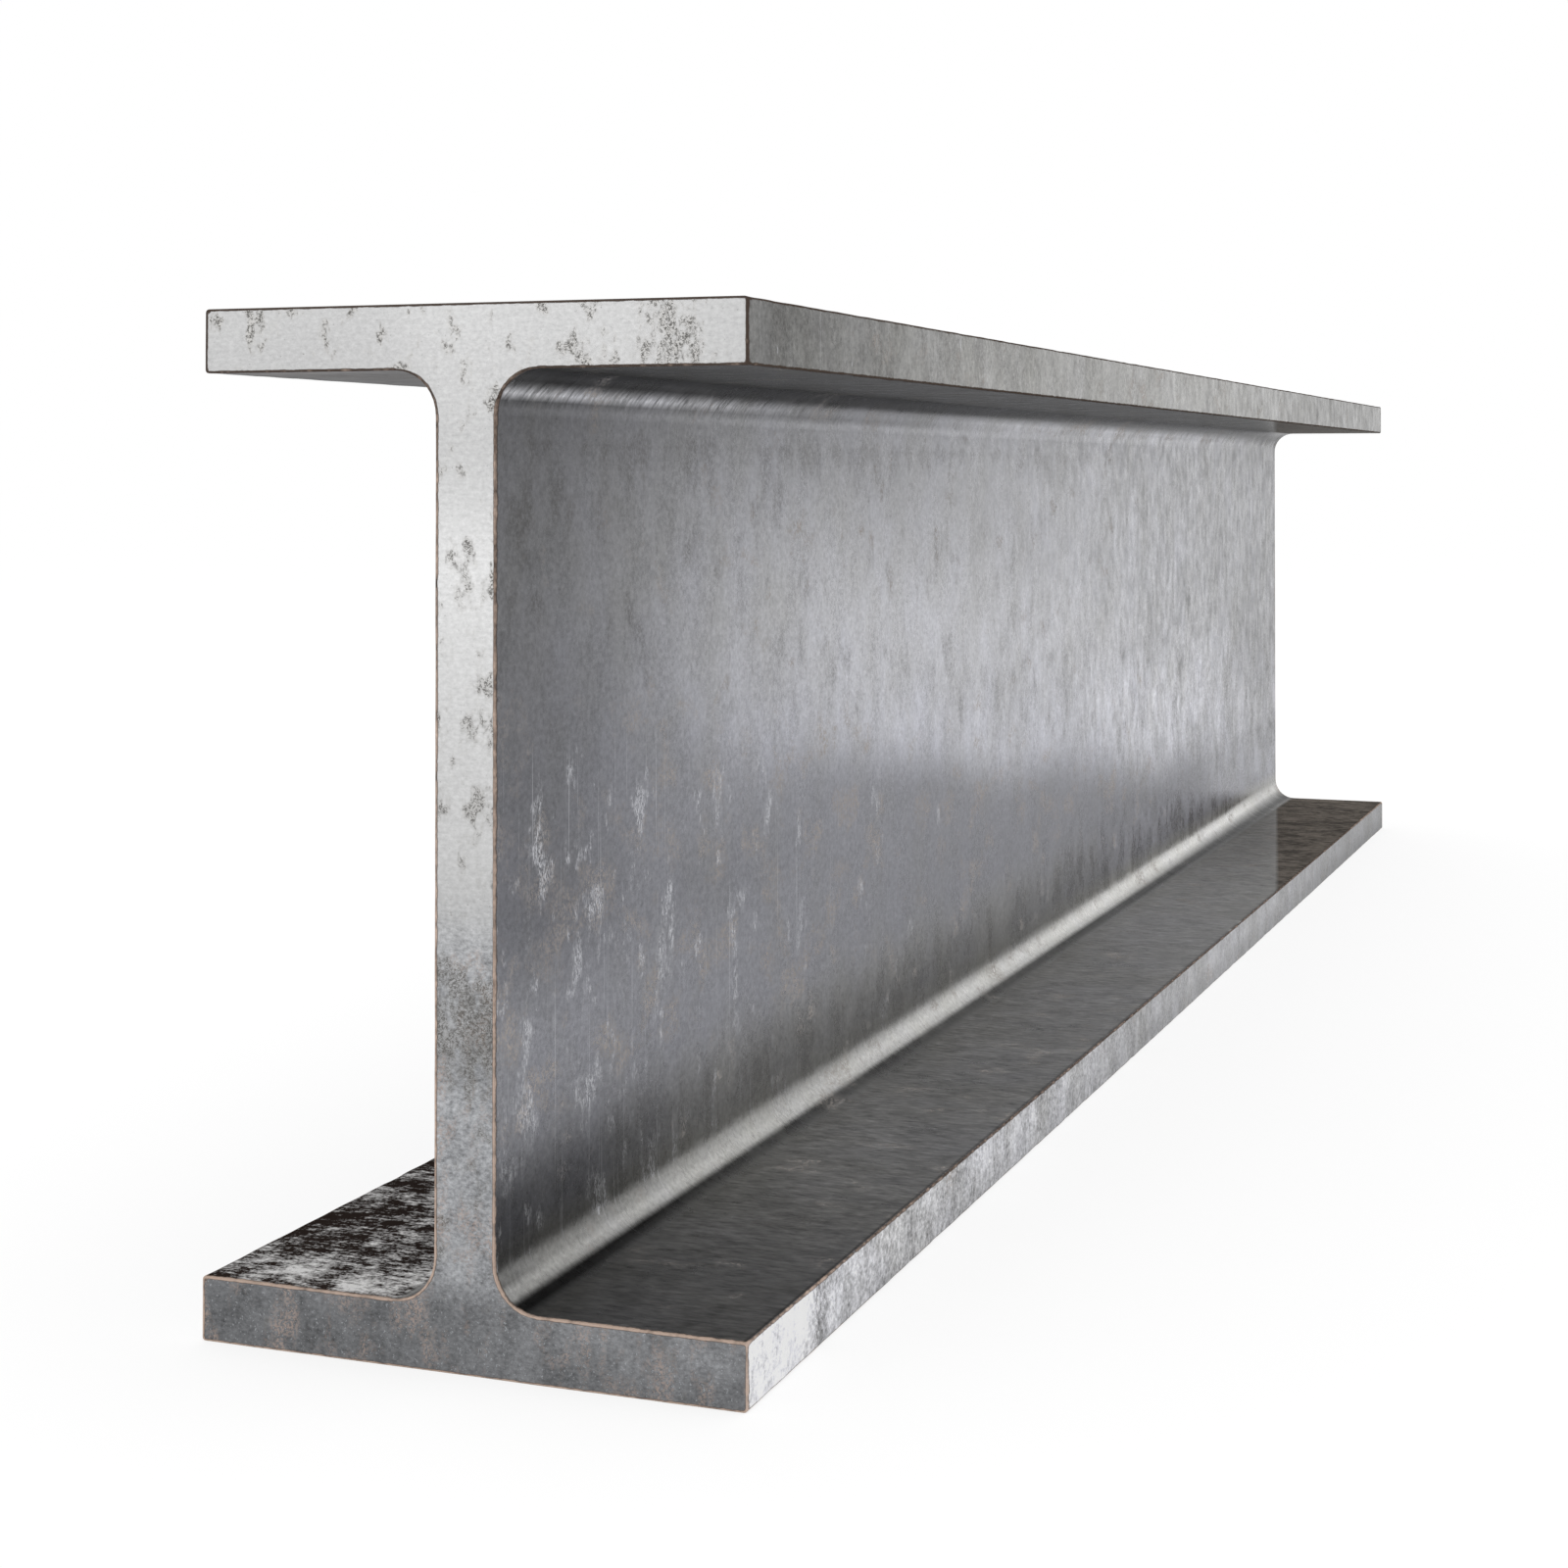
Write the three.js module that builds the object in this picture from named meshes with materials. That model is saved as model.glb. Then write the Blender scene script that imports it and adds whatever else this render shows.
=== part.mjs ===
// A metre of hot-rolled steel I-beam with parallel flanges, lying with its web upright.
// Millimetres, +Z up. The beam runs along X. The origin is the centre of the face that it lies on.

import * as THREE from 'three';

// Driving dimensions.
const LENGTH = 1000; // between the two sawn ends
const DEPTH = 240; // from the bottom flange's underside to the top flange's top
const FLANGE_WIDTH = 136;
const FLANGE_THICKNESS = 15;
const WEB_THICKNESS = 15;
const ROOT_RADIUS = 10.5; // the fillet where the web runs into a flange
const TOE_RADIUS = 0.8; // the slight rounding of each flange corner
const EDGE_BREAK = 0.6; // the bevel filed round each sawn end, as deep as it is wide

// Straight steps that stand for a quarter of a circle.
const ROOT_STEPS = 10;
const TOE_STEPS = 4;

const DOWN = -Math.PI / 2;
const RIGHT = 0;
const UP = Math.PI / 2;
const LEFT = Math.PI;

// Points of a quarter circle that bulges out of the section, turning anticlockwise from one
// direction to the next.
function toeCorner(across, up, from) {
  const quarter = new THREE.EllipseCurve(
    across, up, TOE_RADIUS, TOE_RADIUS, from, from + Math.PI / 2, false,
  );
  return quarter.getPoints(TOE_STEPS);
}

// Points of a quarter circle that hollows the section, turning clockwise.
function rootFillet(across, up, from) {
  const quarter = new THREE.EllipseCurve(
    across, up, ROOT_RADIUS, ROOT_RADIUS, from, from - Math.PI / 2, true,
  );
  return quarter.getPoints(ROOT_STEPS);
}

// The right half of the section, walked upwards, measured from the middle of the web.
// Each corner is a quarter circle tangent to the two flat faces that it joins.
function rightHalf() {
  const toe = FLANGE_WIDTH / 2 - TOE_RADIUS;
  const outer = DEPTH / 2 - TOE_RADIUS;
  const inner = DEPTH / 2 - FLANGE_THICKNESS + TOE_RADIUS;
  const rootAcross = WEB_THICKNESS / 2 + ROOT_RADIUS;
  const rootUp = DEPTH / 2 - FLANGE_THICKNESS - ROOT_RADIUS;
  return [
    ...toeCorner(toe, -outer, DOWN),
    ...toeCorner(toe, -inner, RIGHT),
    ...rootFillet(rootAcross, -rootUp, DOWN),
    ...rootFillet(rootAcross, rootUp, LEFT),
    ...toeCorner(toe, inner, DOWN),
    ...toeCorner(toe, outer, RIGHT),
  ];
}

// The whole section: its left half is its right half given half a turn about the web's middle.
function beamSection() {
  const right = rightHalf();
  const left = right.map((point) => point.clone().negate());
  return new THREE.Shape([...right, ...left]);
}

// The section carried along the beam, drawn in by the edge break at both sawn ends.
function rolledBeam() {
  const geometry = new THREE.ExtrudeGeometry(beamSection(), {
    depth: LENGTH - 2 * EDGE_BREAK,
    steps: 1,
    bevelEnabled: true,
    bevelThickness: EDGE_BREAK,
    bevelSize: EDGE_BREAK,
    bevelOffset: -EDGE_BREAK,
    bevelSegments: 1,
  });
  // The extrusion's depth is centred, so that the beam's middle is at the section's plane.
  geometry.translate(0, 0, -(LENGTH / 2 - EDGE_BREAK));
  return geometry;
}

const steel = new THREE.MeshStandardMaterial({
  name: 'hot_rolled_steel',
  color: '#8d8e91',
  roughness: 0.45,
  metalness: 0.85,
});

const beam = new THREE.Mesh(rolledBeam(), steel);
beam.name = 'i_beam';
// The extrusion runs along Z: two quarter turns lay it along X with the section's up as +Z.
beam.rotation.set(Math.PI / 2, Math.PI / 2, 0);
beam.position.z = DEPTH / 2;

const part = new THREE.Group();
part.name = 'steel_i_beam';
part.add(beam);

export default part;
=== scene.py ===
import math

import bpy
import numpy as np
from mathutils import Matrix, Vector


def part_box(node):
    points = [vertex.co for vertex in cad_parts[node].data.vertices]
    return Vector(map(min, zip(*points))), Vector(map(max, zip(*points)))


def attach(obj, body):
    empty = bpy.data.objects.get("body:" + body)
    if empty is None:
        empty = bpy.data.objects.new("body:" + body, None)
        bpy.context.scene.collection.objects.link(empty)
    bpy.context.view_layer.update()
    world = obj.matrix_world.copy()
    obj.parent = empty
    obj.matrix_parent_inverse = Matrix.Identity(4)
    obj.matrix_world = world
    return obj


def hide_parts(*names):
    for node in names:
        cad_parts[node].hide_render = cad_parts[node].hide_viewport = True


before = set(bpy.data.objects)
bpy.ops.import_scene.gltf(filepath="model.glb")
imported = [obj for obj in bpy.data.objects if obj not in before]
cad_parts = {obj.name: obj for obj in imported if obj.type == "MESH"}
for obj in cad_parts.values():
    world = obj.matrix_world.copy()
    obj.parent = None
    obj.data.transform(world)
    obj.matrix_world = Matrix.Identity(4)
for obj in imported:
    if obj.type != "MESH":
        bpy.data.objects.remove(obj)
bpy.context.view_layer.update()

scene = bpy.context.scene


# CAMERA. It stands off the beam's near end, a little to its -Y side and just below the top flange.
# Its axis is almost level, so upright edges stay upright, and the lens is shifted instead of tilted.
# Pixels count from the top left of a picture 1600 pixels square.
PICTURE = 1600
SENSOR = 36.0  # millimetres
FOCAL_PIXELS = 2687.47
AXIS_ACROSS, AXIS_DOWN = 790.0, 444.71  # where the lens axis meets the picture
CAMERA_PLACE = (-1.0292, -0.2733, 0.2013)
CAMERA_YAW = math.radians(20.62)  # from +X towards +Y
CAMERA_PITCH = math.radians(0.847)  # above level

lens = bpy.data.cameras.new("camera")
lens.sensor_width = SENSOR
lens.lens = FOCAL_PIXELS / PICTURE * SENSOR
lens.shift_x = 0.5 - AXIS_ACROSS / PICTURE
lens.shift_y = AXIS_DOWN / PICTURE - 0.5
lens.clip_start, lens.clip_end = 0.05, 100.0
camera = bpy.data.objects.new("camera", lens)
scene.collection.objects.link(camera)
camera.location = CAMERA_PLACE
aim = Vector((
    math.cos(CAMERA_YAW) * math.cos(CAMERA_PITCH),
    math.sin(CAMERA_YAW) * math.cos(CAMERA_PITCH),
    math.sin(CAMERA_PITCH),
))
camera.rotation_euler = aim.to_track_quat("-Z", "Y").to_euler()
scene.camera = camera


# THE BEAM. One length of structural steel, rolled hot between four rolls that form its two flanges,
# its web and the fillets between them in one pass. Both ends are sawn square, and a file has taken
# the sharpness off the cut all the way round. Sizes are in metres.
LOW, HIGH = (np.array(corner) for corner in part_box("i_beam"))
HALF_LENGTH = (HIGH[0] - LOW[0]) / 2
HALF_WIDTH = (HIGH[1] - LOW[1]) / 2
DEPTH = HIGH[2] - LOW[2]
FLANGE = 0.015  # thickness of a flange
HALF_WEB = 0.0075
ROOT = 0.0105  # radius of the fillet where the web runs into a flange
TOE = 0.0008  # radius of a flange's rolled corners
EDGE_BREAK = 0.0006  # how far a sawn end's rust reaches in, and about the file's deepest cut

# Steps of the section's outline, which are also the sawn faces' grid. The core is the part of a
# flange that lies across the web and its two fillets.
CORNER_STEPS, TOE_STEPS, FLANGE_STEPS, ROOT_STEPS, WEB_STEPS, CORE_STEPS = 3, 5, 10, 9, 32, 4
FIRST_STEP = 0.0008  # a narrow step beside each rolled corner
STATIONS = 400  # steps along the beam
BREAK_STEPS = 3  # steps round the filed edge
FIRST_STATION = 0.001  # where the plain section starts, from each end


def quarter(centre, radius, start, turn, steps):
    """Points and outward normals on a quarter circle: its centre plus its radius times the cosine
    and sine of an angle that runs from start through turn. A turn below zero hollows the steel, so
    there the outward normal points at the centre."""
    angle = start + turn * np.linspace(0, 1, steps + 1)[:, None]
    ray = np.hstack([np.cos(angle), np.sin(angle)])
    return centre + radius * ray, ray * np.sign(turn)


def section():
    """The beam's outline across, as points and outward normals, walked anticlockwise from the
    underside's right corner. Six quarter circles make the right half, straight stretches join
    them, and the left half is the right one given half a turn about the web's middle."""
    toe, outer, inner = HALF_WIDTH - TOE, DEPTH / 2 - TOE, DEPTH / 2 - FLANGE + TOE
    across, up = HALF_WEB + ROOT, DEPTH / 2 - FLANGE - ROOT
    square = math.pi / 2
    corners = [
        quarter((toe, -outer), TOE, -square, square, CORNER_STEPS),
        quarter((toe, -inner), TOE, 0, square, CORNER_STEPS),
        quarter((across, -up), ROOT, -square, -square, ROOT_STEPS),
        quarter((across, up), ROOT, math.pi, -square, ROOT_STEPS),
        quarter((toe, inner), TOE, -square, square, CORNER_STEPS),
        quarter((toe, outer), TOE, 0, square, CORNER_STEPS),
    ]
    corners += [(-points, -normals) for points, normals in corners]
    # Where the points of each straight stretch lie. A flange's outer face has its points where the
    # inner face and the core have theirs.
    first = FIRST_STEP / (FLANGE - 2 * TOE)
    toe_share = np.concatenate([[0], np.linspace(first, 1 - first, TOE_STEPS - 1), [1]])
    inward = np.concatenate([[toe], np.linspace(toe - FIRST_STEP, across, FLANGE_STEPS)])
    flange_share = (toe - inward) / (toe - across)
    core = np.linspace(across, -across, CORE_STEPS + 1)
    outer_share = 0.5 - np.concatenate([inward, core[1:-1], -inward[::-1]]) / (2 * toe)
    web_share = np.linspace(0, 1, WEB_STEPS + 1)
    shares = [toe_share, flange_share, web_share, 1 - flange_share[::-1], toe_share, outer_share] * 2
    points, normals = [], []
    for (here, normal), (ahead, _), share in zip(corners, corners[1:] + corners[:1], shares):
        points += [here, here[-1] + share[1:-1, None] * (ahead[0] - here[-1])]
        normals += [normal, np.repeat(normal[-1:], len(share) - 2, axis=0)]
    return np.vstack(points) + (0, DEPTH / 2), np.vstack(normals)


outline, facing = section()
AROUND = len(outline)
# The numbers of the points where the right half's stretches end, in the order of the walk. The left
# half's are the same, half the outline further on.
TOE_LOW, TOE_HIGH, _, FLANGE_IN, _, _, TOP_IN, TOP_OUT = np.cumsum([
    CORNER_STEPS, TOE_STEPS, CORNER_STEPS, FLANGE_STEPS, ROOT_STEPS, WEB_STEPS, ROOT_STEPS,
    FLANGE_STEPS])


def waves(place, length, seed, count=24):
    """A smooth random field of about the given wavelength in metres, mostly between 0 and 1: a half,
    plus a sum of cosines of the place, each with its own direction, length and phase."""
    dice = np.random.default_rng(seed)
    ray = dice.normal(size=(count, 3))
    ray *= 2 * math.pi / length / np.linalg.norm(ray, axis=1, keepdims=True)
    ray *= dice.uniform(0.7, 1.4, (count, 1))
    phase = place @ ray.T + dice.uniform(0, 2 * math.pi, count)
    return 0.5 + 0.3 * np.cos(phase).sum(-1) / math.sqrt(count / 2)


def smooth(low, high, value):
    """Nought at low, one at high, and an even S between: three times the share's square, less twice
    its cube."""
    share = np.clip((value - low) / (high - low), 0, 1)
    return share * share * (3 - 2 * share)


def filed_edge(end, seed):
    """The rings of the filed edge at one end, from the flat face out to the rolled surface, and
    their normals: a quarter circle whose radius is the depth of the file's cut at each point of
    the outline, which wanders but stays less than a rolled corner's radius."""
    place = np.column_stack([np.zeros(AROUND), outline])
    cut = EDGE_BREAK * (0.28 + 0.3 * waves(place, 0.03, seed) + 0.2 * waves(place, 0.01, seed + 1))
    cut = np.clip(cut, 0.25 * EDGE_BREAK, 0.9 * TOE)[None, :, None]
    turn = np.linspace(0, math.pi / 2, BREAK_STEPS + 1)[:, None, None]
    along = end * (HALF_LENGTH - cut * (1 - np.cos(turn)))
    across = outline - facing * cut * (1 - np.sin(turn))
    endwise = np.broadcast_to(end * np.cos(turn), along.shape)
    return np.concatenate([along, across], -1), np.concatenate([endwise, facing * np.sin(turn)], -1)


near, near_normal = filed_edge(-1, 11)
far, far_normal = filed_edge(1, 13)
stations = np.linspace(FIRST_STATION - HALF_LENGTH, HALF_LENGTH - FIRST_STATION, STATIONS + 1)
body = np.empty((STATIONS + 1, AROUND, 3))
body[..., 0], body[..., 1:] = stations[:, None], outline

# How far each point of the outline is from the nearest rolled corner's rounding.
across, up = np.meshgrid([-HALF_WIDTH, HALF_WIDTH], [0, FLANGE, DEPTH - FLANGE, DEPTH])
corner_places = np.column_stack([across.ravel(), up.ravel()])
from_corner = np.linalg.norm(outline[:, None] - corner_places, axis=-1).min(1) - TOE

# The rolls left the surface a few hundredths of a millimetre uneven, and handling has worn the
# rolled corners and nicked them here and there. All of it dips inwards.
BROAD_DIP, CLOSE_DIP, WORN_DIP, NICK_DIP = 0.00004, 0.00001, 0.00010, 0.00010
CALM = 0.004  # length beside each filed edge in which the dips fade out
dip = BROAD_DIP * waves(body, 0.060, 3).clip(0, 1) + CLOSE_DIP * waves(body, 0.022, 5).clip(0, 1)
worn = WORN_DIP * waves(body, 0.012, 7).clip(0, 1)
worn += NICK_DIP * smooth(0.93, 1.15, waves(body, 0.016, 9))
dip += worn * smooth(FIRST_STEP, 0, from_corner)
dip *= smooth(0, CALM, HALF_LENGTH - FIRST_STATION - abs(stations))[:, None]
# The normals lean by the dip's slope along the beam and by its slope along the walk.
stride = np.linalg.norm(np.roll(outline, -1, axis=0) - outline, axis=1)
walk_slope = (np.roll(dip, -1, axis=1) - np.roll(dip, 1, axis=1)) / (stride + np.roll(stride, 1))
walk_way = np.column_stack([-facing[:, 1], facing[:, 0]])
body_normal = np.empty_like(body)
body_normal[..., 0] = np.gradient(dip, stations, axis=0)
body_normal[..., 1:] = facing + walk_slope[..., None] * walk_way
body_normal /= np.linalg.norm(body_normal, axis=-1, keepdims=True)
body[..., 1:] -= dip[..., None] * facing

rings = np.concatenate([near, body, far[::-1]])
ring_normals = np.concatenate([near_normal, body_normal, far_normal[::-1]])


def squares(number):
    """The four-sided faces between neighbours in a grid of point numbers."""
    corners = [number[:-1, :-1], number[:-1, 1:], number[1:, 1:], number[1:, :-1]]
    return np.stack(corners, -1).reshape(-1, 4)


def fill(spots, left, right, bottom, top):
    """Covers the flat patch between four runs of points with a grid, as a Coons patch: the mix of
    left and right by the share across, plus the mix of bottom and top by the share up, less the
    mix of the four corners. It gives back all the points and the patch's grid of numbers."""
    across = np.linspace(0, 1, len(bottom))[None, :, None]
    up = np.linspace(0, 1, len(left))[:, None, None]
    low, high = spots[bottom][None], spots[top][None]
    inside = (1 - across) * spots[left][:, None] + across * spots[right][:, None]
    inside = inside + (1 - up) * low + up * high
    inside -= (1 - up) * ((1 - across) * low[:, :1] + across * low[:, -1:])
    inside -= up * ((1 - across) * high[:, :1] + across * high[:, -1:])
    number = np.empty(inside.shape[:2], int)
    number[:, 0], number[:, -1], number[0], number[-1] = left, right, bottom, top
    inner = number[1:-1, 1:-1]
    inner[:] = len(spots) + np.arange(inner.size).reshape(inner.shape)
    return np.vstack([spots, inside[1:-1, 1:-1].reshape(-1, 3)]), number


def sawn_face(spots, first):
    """The faces of one sawn end, whose outline starts at point number first, facing +X: a grid over
    each flange and one over the web, which share the two lines that part the web from them."""
    half, left_toe = AROUND // 2, AROUND // 2 + TOP_OUT + CORNER_STEPS

    def run(start, stop):
        step = 1 if start < stop else -1
        return first + np.arange(start, stop + step, step) % AROUND

    faces, lines = [], []
    for turn in (0, half):
        ends = first + np.array([turn + half + TOP_IN, turn + FLANGE_IN]) % AROUND
        line = np.concatenate([ends[:1], len(spots) + np.arange(CORE_STEPS - 1), ends[1:]])
        spots = np.vstack([spots, np.linspace(*spots[ends], CORE_STEPS + 1)[1:-1]])
        lines.append(line)
        spots, grid = fill(
            spots,
            run(turn + left_toe + TOE_STEPS, turn + left_toe),
            run(turn + TOE_LOW, turn + TOE_HIGH),
            run(turn + left_toe + TOE_STEPS, turn + AROUND + TOE_LOW),
            np.concatenate([
                run(turn + left_toe, turn + half + TOP_IN), line[1:-1],
                run(turn + FLANGE_IN, turn + TOE_HIGH),
            ]),
        )
        faces.append(squares(grid))
    spots, grid = fill(
        spots, run(half + TOP_IN, half + FLANGE_IN), run(FLANGE_IN, TOP_IN), lines[0], lines[1][::-1])
    return spots, np.vstack(faces + [squares(grid)])


number = np.arange(rings[..., 0].size).reshape(rings.shape[:2])
skin_faces = squares(np.column_stack([number, number[:, 0]]))
spots, near_faces = sawn_face(rings.reshape(-1, 3), 0)
spots, far_faces = sawn_face(spots, number[-1, 0])
spots[:, 0] = spots[:, 0].clip(-HALF_LENGTH, HALF_LENGTH)
faces = np.vstack([skin_faces, near_faces[:, ::-1], far_faces])
added = len(spots) - number.size
flat = np.zeros((added, 3))
flat[:, 0] = np.sign(spots[number.size:, 0])
normals = np.vstack([ring_normals.reshape(-1, 3), flat])

mesh = bpy.data.meshes.new("rolled_beam")
mesh.from_pydata(spots, [], faces)
mesh.polygons.foreach_set("use_smooth", np.ones(len(faces), bool))
is_sawn = np.arange(len(faces)) >= len(skin_faces)
mesh.polygons.foreach_set("material_index", is_sawn.astype(np.int32))
mesh.normals_split_custom_set_from_vertices(normals)

# The beam's patina, and painted light on it. Mill scale is never one grey, and dust lies on it in drifts.
# Much of the tone below is painted reflection: bright bands and highlights where the metal would mirror
# bright light, and darker near the sawn ends, in the fillets and on parts of the flanges, where it would
# mirror a dark floor or room. A place's tone is the share of light that the steel gives back there. The
# numbers below say where on the beam each mark lies, in metres: x along it from its middle, y across it,
# and z up from its underside.
x, y, z = rings[..., 0], rings[..., 1], rings[..., 2]
side = ring_normals[..., 1] ** 2 / (1e-9 + (ring_normals[..., 1:] ** 2).sum(-1))  # 1 on upright faces
lean = np.degrees(np.arcsin(np.sqrt(side.clip(0, 1))))  # in a fillet: 0 at the flange, 90 at the web
upper = z > DEPTH / 2
on_toe = abs(y) > HALF_WIDTH - TOE
on_web = (side > 0.9) & ~on_toe
in_low_fillet = (z > FLANGE) & (z < FLANGE + ROOT) & (abs(y) < HALF_WEB + ROOT)
in_high_fillet = (z < DEPTH - FLANGE) & (z > DEPTH - FLANGE - ROOT) & (abs(y) < HALF_WEB + ROOT)
in_fillet = in_low_fillet | in_high_fillet
outer_face = (side < 0.5) & ((z < TOE) | (z > DEPTH - TOE))
inner_face = (side < 0.5) & ~outer_face


def hump(centre, width, value):
    """One at centre, falling off on both sides as a bell of that width: e to the power of minus the
    square of the distance from centre over the width."""
    return np.exp(-((value - centre) / width) ** 2)


def with_toes(high, low, elsewhere):
    """The upper toes' numbers and the lower toes' numbers on the toes, and the rest elsewhere."""
    return np.where(on_toe, np.where(upper, high, low), elsewhere)


# The web: a painted reflection. A bright band, a painted reflection of a bright horizon, lies across
# it, slanting down along the beam, and is wavy along its lower edge. Below the band the tone is darker,
# as a painted reflection of a dark floor, and above it the painted shine fades out.
band_edge = 0.0815 - 0.107 * x + 0.008 * (waves(rings, 0.16, 21) - 0.5)
above = z - band_edge
painted_band = smooth(-0.008, 0.016, above) * (1 - 0.85 * smooth(0.016, 0.100, above))
web_tone = 0.33 + 0.29 * painted_band * smooth(-0.48, -0.20, x)
web_tone -= 0.12 * smooth(0.03, 0.13, above) * (1 - 0.75 * smooth(-0.32, -0.12, x))
# The painted reflection is darker beside the near end: from just below the band upwards, at the foot,
# and in streaks.
web_tone *= 1 - 0.45 * smooth(-0.35, -0.50, x) * smooth(-0.06, 0.0, above)
web_tone *= 1 - 0.45 * smooth(-0.35, -0.47, x) * smooth(0.050, 0.034, z)
web_tone *= 1 - 0.30 * smooth(-0.40, -0.48, x) * hump(0.098, 0.018, z)
web_tone *= 1 - 0.16 * hump(-0.37, 0.08, x) * hump(0.092, 0.014, z)
# The painted reflection is darker in the far half too: high up, under the upper flange as painted
# shade, and in a streak low down.
web_tone *= 1 - 0.30 * smooth(0.05, 0.5, x) * smooth(0.04, 0.09, above)
web_tone *= 1 - 0.16 * smooth(0.3, 0.45, x) * smooth(0.19, 0.21, z)
web_tone *= 1 - 0.28 * smooth(0.12, 0.35, x) * hump(0.052, 0.014, z)
# Three more bright streaks are painted highlights: one in the band, and two at the foot.
web_tone *= 1 + 0.20 * hump(0.22, 0.16, x) * hump(0.098, 0.022, z)
web_tone *= 1 + 0.18 * smooth(-0.44, -0.36, x) * smooth(0.15, 0.0, x) * hump(0.046, 0.013, z)
web_tone *= 1 + 0.75 * smooth(-0.05, 0.20, x) * smooth(0.48, 0.35, x) * hump(0.033, 0.014, z)
# On the web's +Y side the same painted reflection is fainter.
side_tone = np.where(y < 0, web_tone, 0.14 + 0.55 * web_tone)

# The toes: the upper one carries a painted reflection like the web's. The lower one carries a painted
# highlight, and is the brightest.
high_toe = 0.325 - 0.14 * smooth(-0.30, -0.50, x) - 0.145 * smooth(0.0, 0.35, x)
low_toe = 0.72 + 0.48 * smooth(-0.435, -0.470, x) - 0.10 * smooth(-0.35, -0.1, x)
low_toe -= 0.20 * smooth(0.0, 0.5, x) + 0.15 * smooth(0.010, 0.002, z)
side_tone = with_toes(high_toe, low_toe, side_tone)

# The flanges' faces. The lower flange's +Y side is almost black at the near end, as a painted dark
# reflection.
dark_mirror_share = inner_face & ~upper & ~in_fillet & (y > 0)
dark_mirror_share = dark_mirror_share * smooth(-0.10, -0.35, x)
low_flat = 0.46 - 0.26 * smooth(-0.33, -0.5, x) - 0.20 * smooth(0.05, 0.35, x)
low_flat *= 1 - 0.12 * smooth(0.050, 0.066, abs(y)) * smooth(0.0, 0.1, x)
high_flat = 0.22 + 0.12 * smooth(-0.475, -0.500, x)
outer_tone = 0.36 + 0.12 * (waves(rings, 0.14, 31) - 0.5) - 0.08 * smooth(0.30, 0.50, abs(x))
flat_tone = np.where(inner_face, np.where(upper, high_flat, low_flat), outer_tone)
tone = side * side_tone + (1 - side) * flat_tone

# The fillets carry painted highlights and painted dark reflection lines along the beam. A line lies at
# a lean, and its strength changes with x.
low_painted_lines = (
    0.30 * hump(45, 6, lean) * smooth(0.55, -0.1, x)
    + (0.06 + 0.10 * smooth(-0.4, -0.1, x)) * hump(63, 9, lean)
    + 0.20 * hump(83, 10, lean) * smooth(-0.1, 0.3, x)
    - (0.28 + 0.32 * smooth(-0.2, 0.2, x)) * hump(27, 10, lean)
    - 0.10 * hump(60, 9, lean) * smooth(-0.47, -0.5, x)
    - 0.13 * hump(45, 8, lean) * smooth(-0.05, 0.4, x)
    - 0.09 * hump(8, 8, lean) * smooth(0.0, 0.2, x)
)
high_painted_lines = (
    0.42 * hump(57, 6, lean) * smooth(-0.28, -0.48, x)
    + 0.26 * hump(63, 9, lean) * smooth(-0.22, -0.04, x) * smooth(0.50, 0.25, x)
    + 0.08 * hump(28, 8, lean) * smooth(-0.30, -0.45, x)
    + 0.05 * hump(84, 6, lean) * hump(-0.30, 0.12, x)
    - 0.07 * hump(71, 4, lean) * smooth(-0.10, -0.25, x)
    - 0.08 * hump(40, 9, lean)
)
tone = (tone + in_low_fillet * low_painted_lines + in_high_fillet * high_painted_lines).clip(0.03, 1.3)
# Here the painted dark reflection darkens the lower flange's +Y side.
tone *= 1 - 0.90 * dark_mirror_share
# Each flange's inner face is darker in a thin line just inside its rolled corner.
tone *= np.where(inner_face & (side < 0.01) & (from_corner < 0.0001), 0.35, 1)

# How strongly the scale is mottled, and how strongly it is grained.
mottled = np.where(side > 0.5, 0.8 + 0.9 * smooth(-0.3, 0.3, x), 0.7)
mottled *= 1 - 0.6 * on_web * smooth(0.03, -0.02, above)
mottled = np.where(in_low_fillet, 0.5, mottled)
mottled = np.where(y > HALF_WEB - 0.001, 0.6 * mottled, mottled)
mottled = with_toes(
    1.2 + 0.8 * smooth(-0.2, 0.4, x),
    1.2 + 0.3 * smooth(0.0, -0.25, x) - 0.2 * smooth(-0.45, -0.47, x),
    mottled,
)
grain_and_end_reflection = np.where(side > 0.5, 1.0 + 0.6 * smooth(0.0, 0.4, x), 2.1 + 0.6 * smooth(0.0, 0.3, x))
grain_and_end_reflection = np.where(outer_face, 1.2, grain_and_end_reflection)
grain_and_end_reflection = np.where(in_fillet, 1.0, grain_and_end_reflection)
grain_and_end_reflection = with_toes(1.5, 1.2 + 1.2 * smooth(0.0, -0.3, x) - 1.0 * smooth(-0.45, -0.47, x), grain_and_end_reflection)

# The grime, the scuffs and the rust come in patches. What is stored for them is how much sooner
# than usual a patch starts, so below zero there are fewer patches and above it more.
# Grime: most lies under the upper fillet, little below the band, and little in the far half.
web_grime = 0.18 * hump(0.2080, 0.0050, z) - 0.20 * smooth(0.03, -0.02, above)
web_grime -= 0.07 * smooth(-0.1, 0.1, x) + 0.06 * smooth(0.1, 0.3, x)
grimed = on_web * web_grime - 0.06 * (outer_face | (on_web & (y > 0)))
grimed = np.where(in_fillet, -0.12, grimed)
low_grime = 0.34 * hump(-0.453, 0.007, x) - 0.13 * smooth(-0.462, -0.472, x)
low_grime -= 0.15 * smooth(-0.38, -0.15, x)
grimed = with_toes(0.08, low_grime, grimed)
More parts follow.
